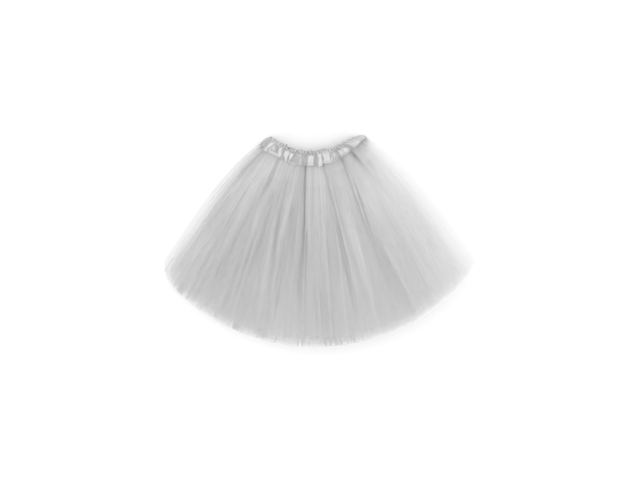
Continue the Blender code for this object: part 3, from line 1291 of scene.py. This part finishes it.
        # Painted shade along the seam.
        light -= self.seam_shade * bell(below / self.seam_shade_width)
        light = self.channel(self.front_facets, across, down, light)
        rise += read(self.swell, down) * self.puff * (light + 1) / 2 - self.channel_drop * share
        tuck = mix(self.tuck, self.end_tuck, self.tuck_ends.at(outward))
        rise -= self.groove * bell(below / self.groove_width) + tuck * self.tuck_down.at(down)
        heading = 1 - smooth(down / self.seam)
        bumps = self.bumps * math.sin(self.bump_rate * across + self.bump_wander.at(across))
        bumps *= 1 + self.end_bumps * self.bump_ends.at(outward)
        reach = down - heading * (read(self.heading_edge, across) + bumps)
        reach += self.lower_half.at(down) * read(self.lower_edge, across)
        sideways = curl * heading / self.plan.half_width(down) * self.side_edge.at(1 - outward)
        place = self.plan.place(across + sideways, reach)
        height = mix(end, self.front_height, climb) + max(climb, self.least_arch) * rise
        # The painted light reaches the colour through the "crease" attribute.
        return ClothPoint(Vector((*place, height)), crease=-clamp(light, -1, 1))

    def back_point(self, across: float, down: float) -> ClothPoint:
        """A point of the band's back, which lies on the floor.

        Args:
            across: the share across.
            down: the share down.

        Returns:
            The point of cloth.
        """
        heading = 1 - smooth(down / self.seam)
        edge = self.back_edge.at(1 - abs(across))
        ruffle = math.cos(TURN * self.ruffle_turns(-across) / 2)
        rise = heading * edge * (1 + ruffle) / 2 * self.back_ruffle
        light = self.back_light * ruffle + self.back_heading_light
        light = mix(self.base_light, light, heading)
        light = self.channel(self.back_facets, across, down, light)
        rise -= self.back_puff * (light + 1) * edge * (1 - heading)
        lower = self.back_ends.at(abs(across)) * self.lower_half.at(down)
        place = self.plan.place(across, down + lower * read(self.lower_edge, across))
        # The painted light reaches the colour through the "crease" attribute.
        return ClothPoint(Vector((*place, self.back_middle + rise)), crease=-clamp(light, -1, 1))

    def surface(self, column: LoopPoint, down: float) -> ClothPoint:
        """A point anywhere round the band.

        Args:
            column: the column of the tube.
            down: the share down.

        Returns:
            The point of cloth.
        """
        if column.turn == 0:
            return self.front_point(column.across, down)
        if column.turn == 1:
            return self.back_point(column.across, down)
        place, front, back = self.tube.at(column, down)
        return ClothPoint(place, crease=mix(front.crease, back.crease, column.turn))

    def build(self) -> bpy.types.Object:
        """Builds and dresses the band.

        Returns:
            The band's piece, riding on the garment.
        """
        columns = tube_columns(self.front_columns, self.back_columns, self.side_columns)
        satin = self.finish.make("polyester_satin")
        piece = build_tube("waistband", columns, self.rows, self.surface, satin)
        thickness = piece.modifiers.new("cloth", "SOLIDIFY")
        thickness.thickness = self.wall
        thickness.offset = 0
        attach(piece, BODY)
        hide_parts("waistband_front", "waistband_back")
        return piece


# ---------------------------------------------------------------- sewing


@dataclass
class Topstitching:
    """Rows of straight stitches that hold the heading and the lower edge of the casing."""

    band: Waistband
    finish: SpunThread
    downs: tuple[float, ...] = (0.25, 0.955)
    stitch_length: float = 2.3 * MM
    stitch_pitch: float = 3.0 * MM
    thickness: float = 0.42 * MM
    raised: float = 0.3  # share of its thickness that the thread's middle stands out
    reach: float = 0.97  # how far across the rows go
    around: int = 6
    along: int = 5

    def add_stitch(self, mesh: bmesh.types.BMesh, start: Vector, end: Vector) -> None:
        """Adds one stitch, a slim rounded bead between two points.

        Args:
            mesh: the mesh that it joins.
            start: where the thread comes up.
            end: where it goes down.
        """
        line = end - start
        turn = line.to_track_quat("X", "Z").to_matrix().to_4x4()
        size = Matrix.Diagonal((line.length / 2, self.thickness / 2, self.thickness / 2, 1))
        place = Matrix.Translation((start + end) / 2) @ turn @ size
        bmesh.ops.create_uvsphere(
            mesh, u_segments=self.along, v_segments=self.around, radius=1, matrix=place
        )

    def build(self) -> bpy.types.Object:
        """Builds every stitch as one piece.

        Returns:
            The sewing, riding on the garment.
        """
        mesh = bmesh.new()
        lift = Vector((0, 0, self.band.wall / 2 + self.thickness * self.raised))
        for down in self.downs:
            half_width = self.band.plan.half_width(down)
            count = int(2 * half_width * self.reach / self.stitch_pitch)
            span = self.stitch_length / half_width / 2
            for number in range(count):
                middle = mix(-self.reach, self.reach, (number + 0.5) / count)
                start = self.band.front_point(middle - span, down).place + lift
                end = self.band.front_point(middle + span, down).place + lift
                self.add_stitch(mesh, start, end)
        bmesh.ops.recalc_face_normals(mesh, faces=mesh.faces)
        piece = add_piece("topstitching", mesh, self.finish.make("spun_polyester_thread"))
        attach(piece, BODY)
        return piece


# ---------------------------------------------------------------- studio


@dataclass(frozen=True)
class Softbox:
    """A square light that points at the garment."""

    name: str
    place: tuple[float, float, float]
    size: float
    watts: float

    def hang(self) -> None:
        """Adds the light to the scene."""
        data = bpy.data.lights.new(self.name, "AREA")
        data.shape = "SQUARE"
        data.size = self.size
        data.energy = self.watts
        light = bpy.data.objects.new(self.name, data)
        light.location = self.place
        light.rotation_euler = (-Vector(self.place)).to_track_quat("-Z", "Y").to_euler()
        bpy.context.collection.objects.link(light)


@dataclass
class Studio:
    """White paper, soft light all round, one gentle key light and a camera straight above."""

    paper: StudioPaper = field(default_factory=StudioPaper)
    paper_width: float = 8.0
    sky_colour: str = "#FFFFFF"
    sky_strength: float = 0.945
    lights: tuple[Softbox, ...] = (
        Softbox("key_light", (-2.4, 1.95, 3.0), 1.2, 42.0),
        Softbox("fill_light", (2.4, -0.8, 2.8), 1.8, 10.0),
    )
    camera_height: float = 4.0
    camera_aim: tuple[float, float] = (1.0 * MM, 2.5 * MM)
    view_width: float = 1.2995
    view_level: float = 0.018  # the height at which the view is that wide
    sensor_mm: float = 36.0
    view_end: float = 50.0
    see_through: int = 64  # thicknesses of net that light may pass

    def build(self) -> None:
        """Builds the paper, the lights, the sky and the camera."""
        scene = bpy.context.scene
        mesh = bmesh.new()
        bmesh.ops.create_grid(mesh, x_segments=1, y_segments=1, size=self.paper_width / 2)
        add_piece("paper", mesh, self.paper.make("background_paper"))
        for light in self.lights:
            light.hang()
        world = bpy.data.worlds.new("soft_room")
        world.use_nodes = True
        sky = world.node_tree.nodes["Background"]
        sky.inputs["Color"].default_value = linear(self.sky_colour)
        sky.inputs["Strength"].default_value = self.sky_strength
        scene.world = world
        lens = bpy.data.cameras.new("camera")
        lens.sensor_width = self.sensor_mm
        lens.lens = self.sensor_mm * (self.camera_height - self.view_level) / self.view_width
        lens.clip_end = self.view_end
        camera = bpy.data.objects.new("camera", lens)
        camera.location = (*self.camera_aim, self.camera_height)
        bpy.context.collection.objects.link(camera)
        scene.camera = camera
        scene.view_settings.view_transform = "Standard"
        scene.cycles.transparent_max_bounces = self.see_through


# ---------------------------------------------------------------- the tutu

TULLE_GREY = "#DDDDDD"
NET_COVER = 0.20
ARCH_SHARES = (0, 0.14, 0.38, 0.65, 1)


def fold(left_mm: float, right_mm: float, *points: tuple[float, float, float]) -> Fold:
    """A long fold: its spreads, and points of percent down, thousandths across, percent deep."""
    rows = tuple(FoldPoint(down / 100, at / 1000, depth / 100) for down, at, depth in points)
    return Fold(left_mm * MM, right_mm * MM, rows)


def heights(*values_mm: float) -> Table:
    """How high a front half arches, from the waist to the hem."""
    return tuple(Row(share, value * MM) for share, value in zip(ARCH_SHARES, values_mm))


def mirrored(folds: tuple[Fold, ...]) -> tuple[Fold, ...]:
    """The same folds the other way round.

    Args:
        folds: the folds.

    Returns:
        The mirrored folds, in the same order.
    """
    return tuple(
        Fold(
            one.right,
            one.left,
            tuple(FoldPoint(at.down, -at.across, at.depth) for at in one.points),
        )
        for one in folds
    )


# Long folds of the net: troughs in the cloth whose depth also paints shade into the net's colour.
CREASES = (
    fold(5, 5, (0, -860, 25), (10, -875, 25), (20, -870, 18), (28, -850, 0)),
    fold(3, 9, (30, -850, 0), (40, -860, 12), (50, -868, 20), (60, -868, 22), (68, -860, 12),
         (76, -850, 0)),
    fold(6, 3, (22, -765, 0), (28, -750, 16), (36, -738, 18), (47, -732, 20), (56, -734, 16),
         (65, -750, 12), (80, -765, 15), (88, -765, 0)),
    fold(3, 4, (42, -795, 0), (50, -797, 15), (70, -815, 15), (82, -825, 12), (100, -835, 10)),
    fold(3, 2.6, (2, -575, 15), (10, -580, 40), (15, -575, 45), (20, -585, 35), (27, -605, 10),
         (32, -620, 0)),
    fold(3, 12, (25, -605, 8), (32, -628, 12), (38, -637, 17), (45, -647, 19), (52, -655, 15),
         (60, -658, 12), (75, -640, 10), (85, -630, 0)),
    fold(2.5, 3, (62, -675, 0), (68, -672, 25), (75, -670, 35), (84, -663, 20), (90, -660, 0)),
    fold(5, 5, (12, -675, 0), (20, -675, 10), (30, -670, 8), (40, -670, 0)),
    fold(4, 3, (38, -582, 0), (43, -577, 20), (55, -570, 12), (70, -560, 20), (78, -555, 0)),
    fold(2.5, 2.5, (20, -515, 5), (35, -513, 15), (50, -517, 22), (60, -516, 32), (68, -514, 24),
         (75, -510, 25), (85, -508, 5), (100, -508, 0)),
    fold(6, 3, (18, -490, 10), (22, -488, 35), (28, -478, 28), (33, -470, 28), (40, -467, 27),
         (50, -465, 26), (60, -467, 18), (70, -472, 12), (80, -472, 12), (88, -472, 0)),
    fold(3, 3, (10, -440, 0), (18, -435, 6), (24, -430, 2), (45, -420, 6), (60, -415, 10),
         (70, -395, 15), (80, -385, 12), (90, -380, 0)),
    fold(5, 5, (8, -405, 5), (15, -390, 18), (22, -380, 25), (30, -370, 30), (37, -360, 40),
         (45, -348, 45), (52, -340, 42), (58, -330, 35), (65, -325, 20), (75, -320, 15),
         (85, -320, 8), (100, -320, 0)),
    fold(4, 4, (0, -295, 30), (10, -290, 28), (20, -285, 14), (30, -285, 0)),
    fold(2, 4, (20, -280, 0), (30, -272, 35), (36, -277, 18), (45, -278, 22), (52, -278, 32),
         (60, -278, 25), (70, -275, 15), (80, -272, 0)),
    fold(2.5, 2.5, (20, -260, 5), (27, -252, 25), (34, -245, 25), (42, -243, 15), (50, -240, 10),
         (60, -245, 10), (70, -250, 30), (77, -250, 32), (83, -250, 15), (90, -250, 0)),
    fold(8, 2.5, (20, -210, 0), (28, -205, 10), (35, -195, 18), (42, -188, 25), (48, -187, 22),
         (56, -185, 15), (65, -190, 8), (80, -190, 0)),
    fold(2.5, 3, (50, -235, 0), (60, -228, 15), (70, -225, 12), (80, -222, 0)),
    fold(2.5, 1.6, (0, -148, 70), (10, -136, 80), (20, -124, 85), (30, -110, 80), (40, -105, 65),
         (50, -102, 50), (55, -101, 35), (65, -100, 20), (80, -100, 15), (87, -100, 0)),
    fold(5, 5, (20, -140, 10), (30, -130, 25), (40, -122, 40), (50, -120, 50), (60, -120, 50),
         (70, -118, 42), (77, -115, 30), (85, -110, 12), (95, -100, 0)),
    fold(5, 3, (0, -180, 25), (5, -175, 20), (20, -160, 15), (30, -150, 0)),
    fold(1.6, 1.6, (5, -112, 0), (10, -105, 20), (15, -100, 30), (20, -95, 22), (27, -85, 0)),
    fold(2, 2.5, (35, -88, 0), (40, -86, 45), (48, -83, 60), (62, -80, 55), (70, -78, 40),
         (78, -75, 35), (85, -75, 15), (100, -75, 8)),
    fold(3, 3, (35, -30, 0), (42, -35, 10), (55, -30, 12), (68, -25, 12), (80, -10, 12),
         (90, -10, 0)),
    fold(3, 3, (30, 15, 0), (40, 17, 12), (50, 20, 12), (56, 20, 0)),
    fold(2, 3, (62, 20, 0), (70, 22, 15), (77, 25, 25), (85, 30, 20), (95, 35, 12), (100, 35, 5)),
    fold(2.5, 2, (0, 130, 50), (5, 125, 20), (10, 120, 0)),
    fold(2, 6, (10, 130, 0), (20, 130, 10), (30, 108, 5), (40, 100, 6), (50, 95, 8), (60, 93, 8),
         (72, 93, 14), (80, 93, 10), (90, 90, 0)),
    fold(2, 1.6, (0, 148, 40), (4, 157, 45), (8, 166, 50), (15, 178, 40), (20, 195, 40),
         (25, 208, 50), (30, 216, 48), (40, 227, 48), (50, 235, 45), (57, 241, 40), (65, 243, 35),
         (72, 245, 30), (80, 248, 20), (90, 250, 0)),
    fold(3, 4, (30, 200, 0), (40, 203, 40), (50, 211, 42), (60, 218, 48), (70, 223, 42),
         (78, 226, 30), (87, 228, 10), (100, 225, 0)),
    fold(2.5, 2.5, (22, 165, 0), (30, 170, 12), (40, 173, 15), (50, 170, 18), (60, 162, 18),
         (68, 155, 0)),
    fold(8, 2.5, (12, 225, 0), (20, 240, 6), (30, 258, 12), (40, 275, 15), (50, 288, 13),
         (57, 298, 15), (65, 310, 8), (80, 325, 6), (90, 330, 0)),
    fold(2.5, 14, (20, 390, 0), (27, 385, 8), (35, 378, 12), (50, 372, 10), (70, 370, 8),
         (90, 365, 5), (100, 360, 0)),
    fold(3.5, 2.5, (0, 470, 60), (4, 466, 65), (8, 464, 70), (15, 460, 60), (22, 455, 62),
         (30, 453, 55), (40, 456, 42), (46, 460, 28), (55, 467, 16), (65, 470, 14), (80, 470, 10),
         (100, 470, 0)),
    fold(2, 2.2, (14, 497, 10), (18, 496, 55), (23, 495, 75), (29, 492, 70), (34, 486, 55),
         (40, 480, 50), (45, 477, 35), (52, 480, 10), (60, 480, 0)),
    fold(20, 3, (40, 500, 10), (50, 513, 20), (60, 522, 25), (70, 533, 22), (80, 543, 18),
         (90, 553, 15), (100, 560, 8)),
    fold(5, 6, (35, 660, 0), (45, 658, 10), (55, 655, 14), (65, 650, 14), (75, 652, 12),
         (88, 658, 12), (100, 660, 5)),
    fold(5, 3, (0, 650, 50), (4, 670, 100), (8, 685, 80), (13, 700, 40), (18, 713, 25),
         (23, 730, 22), (28, 735, 12), (35, 735, 0)),
    fold(3, 3, (8, 785, 0), (12, 778, 40), (17, 765, 36), (22, 750, 20), (28, 740, 0)),
)
# Long ridges of the net, lightened with painted highlights.
RIDGES = (
    fold(5, 6, (10, -710, 0), (35, -725, -4), (50, -710, -6), (80, -700, 0)),
    fold(2.5, 2.5, (0, -545, -15), (10, -545, -20), (15, -545, -10), (20, -545, 0)),
    fold(4, 4, (25, -560, 0), (40, -555, -12), (60, -540, -12), (80, -535, -8), (90, -530, 0)),
    fold(2, 2, (30, -503, 0), (50, -500, -15), (70, -498, -12), (85, -495, 0)),
    fold(4, 4, (32, -390, 0), (42, -385, -15), (55, -372, -12), (70, -360, -12), (85, -350, -10),
         (100, -350, 0)),
    fold(3, 3, (15, -300, 0), (25, -305, -15), (45, -315, -15), (55, -308, -15), (70, -293, -10),
         (85, -287, -10), (100, -280, -5)),
    fold(1.6, 1.6, (33, -100, 0), (40, -96, -25), (50, -92, -25), (65, -90, -22), (80, -87, -15),
         (90, -85, 0)),
    fold(2, 2, (0, -90, -10), (10, -88, -15), (20, -78, -18), (27, -70, -14), (38, -60, -15),
         (45, -48, -18), (52, -30, -12), (60, -20, 0)),
    fold(1.6, 1.6, (62, 15, 0), (75, 14, -15), (100, 14, -12)),
    fold(3, 2, (0, 115, -8), (10, 112, -10), (20, 107, -14), (28, 100, -10), (37, 88, -14),
         (45, 85, -12), (55, 83, -10), (80, 83, -10), (100, 83, 0)),
    fold(2, 3, (12, 195, 0), (18, 206, -15), (25, 220, -25), (35, 234, -20), (45, 243, -20),
         (55, 255, -15), (70, 260, -8), (80, 260, 0)),
    fold(2.5, 2.5, (33, 188, 0), (40, 188, -22), (50, 184, -15), (70, 172, -15), (85, 170, -12),
         (100, 168, 0)),
    fold(11, 10, (5, 330, -10), (20, 330, -18), (40, 325, -20), (50, 330, -12), (65, 335, -5),
         (80, 340, 0)),
    fold(4, 3, (35, 358, 0), (45, 357, -10), (52, 354, -15), (65, 350, -10), (80, 345, -18),
         (95, 347, -20), (100, 347, -10)),
    fold(1.8, 1.8, (6, 478, -10), (13, 478, -35), (20, 474, -40), (30, 468, -30), (40, 464, -35),
         (44, 463, -30), (48, 463, 0)),
    fold(14, 10, (5, 570, -5), (15, 575, -10), (25, 575, -13), (33, 575, -10), (40, 575, -4),
         (45, 575, 0)),
    fold(3, 4, (50, 540, 0), (60, 547, -12), (70, 557, -15), (80, 565, -12), (90, 572, -12),
         (100, 580, 0)),
    # a broad painted highlight on the net just under the band, right of the middle
    fold(45, 45, (4, 300, 0), (7, 300, -8), (13, 300, -7), (22, 300, -3.5), (35, 300, -2),
         (70, 300, -2), (90, 300, 0)),
)
BACK_FOLDS = mirrored(CREASES[1::3] + RIDGES[::3])

LAYERS = (
    TulleLayer(
        name="tulle_inner",
        shape=LayerShape(
            order=2,
            hem_radius=390.0 * MM,
            left_angle=-49.4 * DEGREE,
            right_angle=46.5 * DEGREE,
            waist_inset=5.6 * DEGREE,
            heights=heights(12.0, 12.7, 13.3, 13.1, 11.0),
            flutes=14,
            flute_depth=1.5 * MM,
            gathers=40,
            front_columns=640,
            back_columns=440,
            rows=30,
            seed=11,
        ),
        finish=NylonTulle(TULLE_GREY, NET_COVER, cut_width=1.35, cut_length=0.375),
        left_cover=steady((0, 0.1), (10, 0.6), (18, 1.2), (31, 2.4), (60, 1.5)),
        right_cover=steady(
            (0, 0), (3, 0.05), (16, 0.2), (33, 0.33), (53, 0.7), (85, 1.1), (125, 1.8)
        ),
        hem_fade=17.0 * MM,
        fold_share=0.25,
        front_folds=BACK_FOLDS,
        back_folds=CREASES[::3],
    ),
    TulleLayer(
        name="tulle_middle",
        shape=LayerShape(
            order=1,
            hem_radius=397.0 * MM,
            left_angle=-51.6 * DEGREE,
            right_angle=51.0 * DEGREE,
            waist_inset=2.6 * DEGREE,
            heights=heights(13.4, 17.5, 21.5, 20.5, 15.7),
            flutes=24,
            flute_depth=2.4 * MM,
            gathers=47,
            front_columns=760,
            back_columns=520,
            rows=40,
            seed=5,
        ),
        finish=NylonTulle(TULLE_GREY, NET_COVER, cut_width=1.50, cut_length=0.383),
        left_cover=steady(
            (0, 0.1), (5, 0.2), (11, 0.6), (18, 1.2), (26, 1.8), (38, 2.6), (80, 1.8), (120, 1.5)
        ),
        right_cover=steady(
            (0, 0.05), (3, 0.1), (15, 0.4), (23, 0.5), (36, 0.6), (53, 0.6), (73, 0.7), (105, 1.1),
            (145, 1.5)
        ),
        hem_fade=17.0 * MM,
        fold_share=0.6,
        fold_spread=1.06,
        fold_shift=0.02,
        front_folds=CREASES + RIDGES,
        back_folds=BACK_FOLDS,
    ),
    TulleLayer(
        name="tulle_outer",
        shape=LayerShape(
            order=0,
            hem_radius=403.3 * MM,
            left_angle=-53.3 * DEGREE,
            right_angle=55.1 * DEGREE,
            waist_inset=0.0,
            heights=heights(14.8, 25.0, 33.0, 31.5, 22.8),
            flutes=36,
            flute_depth=4.0 * MM,
            gathers=58,
            front_columns=1100,
            back_columns=560,
            rows=56,
            seed=2,
        ),
        finish=NylonTulle(TULLE_GREY, NET_COVER, cut_width=1.70, cut_length=0.390),
        left_cover=steady(
            (0, 0.45), (8, 0.6), (14, 0.9), (21, 1.2), (28, 1.5), (36, 1.8), (48, 1.9), (70, 1.6),
            (110, 1.35), (150, 1.3)
        ),
        right_cover=steady(
            (0, 0.2), (8, 0.34), (16, 0.55), (24, 0.75), (34, 1.0), (53, 1.2), (90, 1.25),
            (122, 1.35), (162, 1.4)
        ),
        hem_fade=8.0 * MM,
        fold_share=1.0,
        front_folds=CREASES + RIDGES,
        back_folds=BACK_FOLDS,
    ),
)

FACET_SHIFT = 0.012  # moves every patch to the right, by share across
BACK_LIGHT = 0.6  # how strong the back's painted light and shade are beside the front's

# The channel's patches of painted highlights and painted shade on the satin.
FACETS = tuple(
    Facet(*(share + FACET_SHIFT for share in patch[:4]), *patch[4:])
    for patch in (
        (-0.95, -0.87, -0.97, -0.91, 0.25, 1.0, -0.7),
        (-0.87, -0.835, -0.915, -0.86, 0.18, 1.0, 0.95),
        (-0.83, -0.80, -0.85, -0.81, 0.25, 1.0, -0.3),
        (-0.81, -0.765, -0.775, -0.73, 0.3, 0.66, 0.3),
        (-0.75, -0.70, -0.71, -0.65, 0.25, 0.66, -0.75),
        (-0.80, -0.62, -0.80, -0.60, 0.66, 0.76, -0.7),
        (-0.82, -0.64, -0.82, -0.62, 0.75, 0.93, 0.65),
        (-0.71, -0.64, -0.63, -0.585, 0.22, 0.88, 0.95),
        (-0.62, -0.575, -0.575, -0.535, 0.2, 1.0, -0.7),
        (-0.57, -0.485, -0.52, -0.465, 0.3, 0.96, 1.0),
        (-0.485, -0.455, -0.47, -0.455, 0.3, 1.0, -0.7),
        (-0.45, -0.39, -0.46, -0.435, 0.35, 0.98, 0.95),
        (-0.40, -0.32, -0.42, -0.35, 0.3, 0.9, -0.7),
        (-0.41, -0.34, -0.40, -0.33, 0.88, 1.05, 0.1),
        (-0.31, -0.285, -0.34, -0.31, 0.32, 0.6, 0.0),
        (-0.275, -0.25, -0.26, -0.23, 0.32, 1.0, 0.3),
        (-0.24, -0.13, -0.23, -0.14, 0.25, 1.05, -0.7),
        (-0.118, -0.018, -0.128, -0.02, 0.3, 0.97, 0.85),
        (-0.015, 0.05, -0.02, 0.055, 0.28, 0.97, -0.75),
        (0.05, 0.125, 0.065, 0.122, 0.22, 1.05, 0.98),
        (0.125, 0.15, 0.122, 0.145, 0.3, 1.0, -0.75),
        (0.15, 0.275, 0.145, 0.256, 0.15, 0.98, 0.75),
        (0.29, 0.31, 0.27, 0.288, 0.3, 0.95, 0.3),
        (0.335, 0.358, 0.305, 0.328, 0.28, 0.95, 0.4),
        (0.375, 0.40, 0.35, 0.39, 0.3, 1.0, -0.2),
        (0.395, 0.445, 0.40, 0.455, 0.25, 1.0, -0.85),
        (0.44, 0.60, 0.45, 0.62, 0.28, 1.0, 0.25),
        (0.445, 0.475, 0.45, 0.48, 0.28, 0.8, 0.75),
        (0.53, 0.585, 0.54, 0.615, 0.22, 1.0, 0.85),
        (0.62, 0.68, 0.64, 0.69, 0.2, 1.0, -0.75),
        (0.69, 0.86, 0.70, 0.86, 0.12, 1.0, 0.45),
        (0.78, 0.86, 0.79, 0.87, 0.3, 0.9, 0.75),
        (0.88, 0.98, 0.88, 1.0, 0.15, 1.0, 0.3),
    )
)
BACK_FACETS = tuple(
    Facet(
        -one.right_top,
        -one.left_top,
        -one.right_bottom,
        -one.left_bottom,
        one.start,
        one.end,
        one.light * BACK_LIGHT,
    )
    for one in FACETS[::2]
)
HEADING_EDGE = steady(
    (-1, 0), (-0.93, 0.03), (-0.8, 0), (-0.755, -0.02), (-0.715, 0.09), (-0.655, 0.03),
    (-0.62, 0.1), (-0.585, 0.02), (-0.545, -0.12), (-0.5, 0.03), (-0.42, -0.02), (-0.35, -0.03),
    (-0.27, 0.03), (-0.18, -0.02), (-0.125, -0.14), (-0.075, 0.1), (-0.035, -0.05), (0.02, 0.03),
    (0.1, 0.04), (0.16, 0.12), (0.25, 0.12), (0.29, 0.04), (0.4, 0.02), (0.48, 0.08), (0.55, 0.15),
    (0.66, 0.12), (0.7, 0.22), (0.73, 0.22), (0.76, 0.08), (0.8, 0.2), (0.85, 0.2), (0.88, 0.06),
    (0.92, 0.16), (0.96, 0.14), (1, 0),
)
LOWER_EDGE = steady(
    (-1, -0.2), (-0.94, -0.14), (-0.9, 0), (-0.85, -0.03), (-0.65, -0.07), (-0.6, -0.05),
    (-0.5, -0.03), (-0.45, 0), (-0.35, 0.04), (-0.25, 0), (-0.1, -0.02), (0, -0.03), (0.08, 0.04),
    (0.128, 0.02), (0.142, -0.12), (0.2, -0.1), (0.3, -0.06), (0.4, -0.05), (0.46, -0.18),
    (0.5, -0.22), (0.6, -0.24), (0.65, -0.2), (0.7, -0.27), (0.8, -0.26), (0.86, -0.36),
    (0.93, -0.38), (1, -0.3),
)


def main() -> None:
    """Builds the studio and the tutu, and reports each piece."""
    logging.basicConfig(level=logging.INFO, format="%(name)s: %(message)s")
    Studio().build()
    # the satin's lit colour and its painted shade colour
    satin = PolyesterSatin("#D4D4D4", "#9E9E9E", cut_width=0.57, cut_length=0.034)
    band = Waistband(satin, FACETS, BACK_FACETS, HEADING_EDGE, LOWER_EDGE)
    pieces = [band.build()]
    pieces += [layer.build() for layer in LAYERS]
    pieces.append(Topstitching(band, SpunThread("#C9C9CC")).build())
    for piece in pieces:
        log.info("%s: %d faces", piece.name, len(piece.data.polygons))


if __name__ == "__main__":
    main()
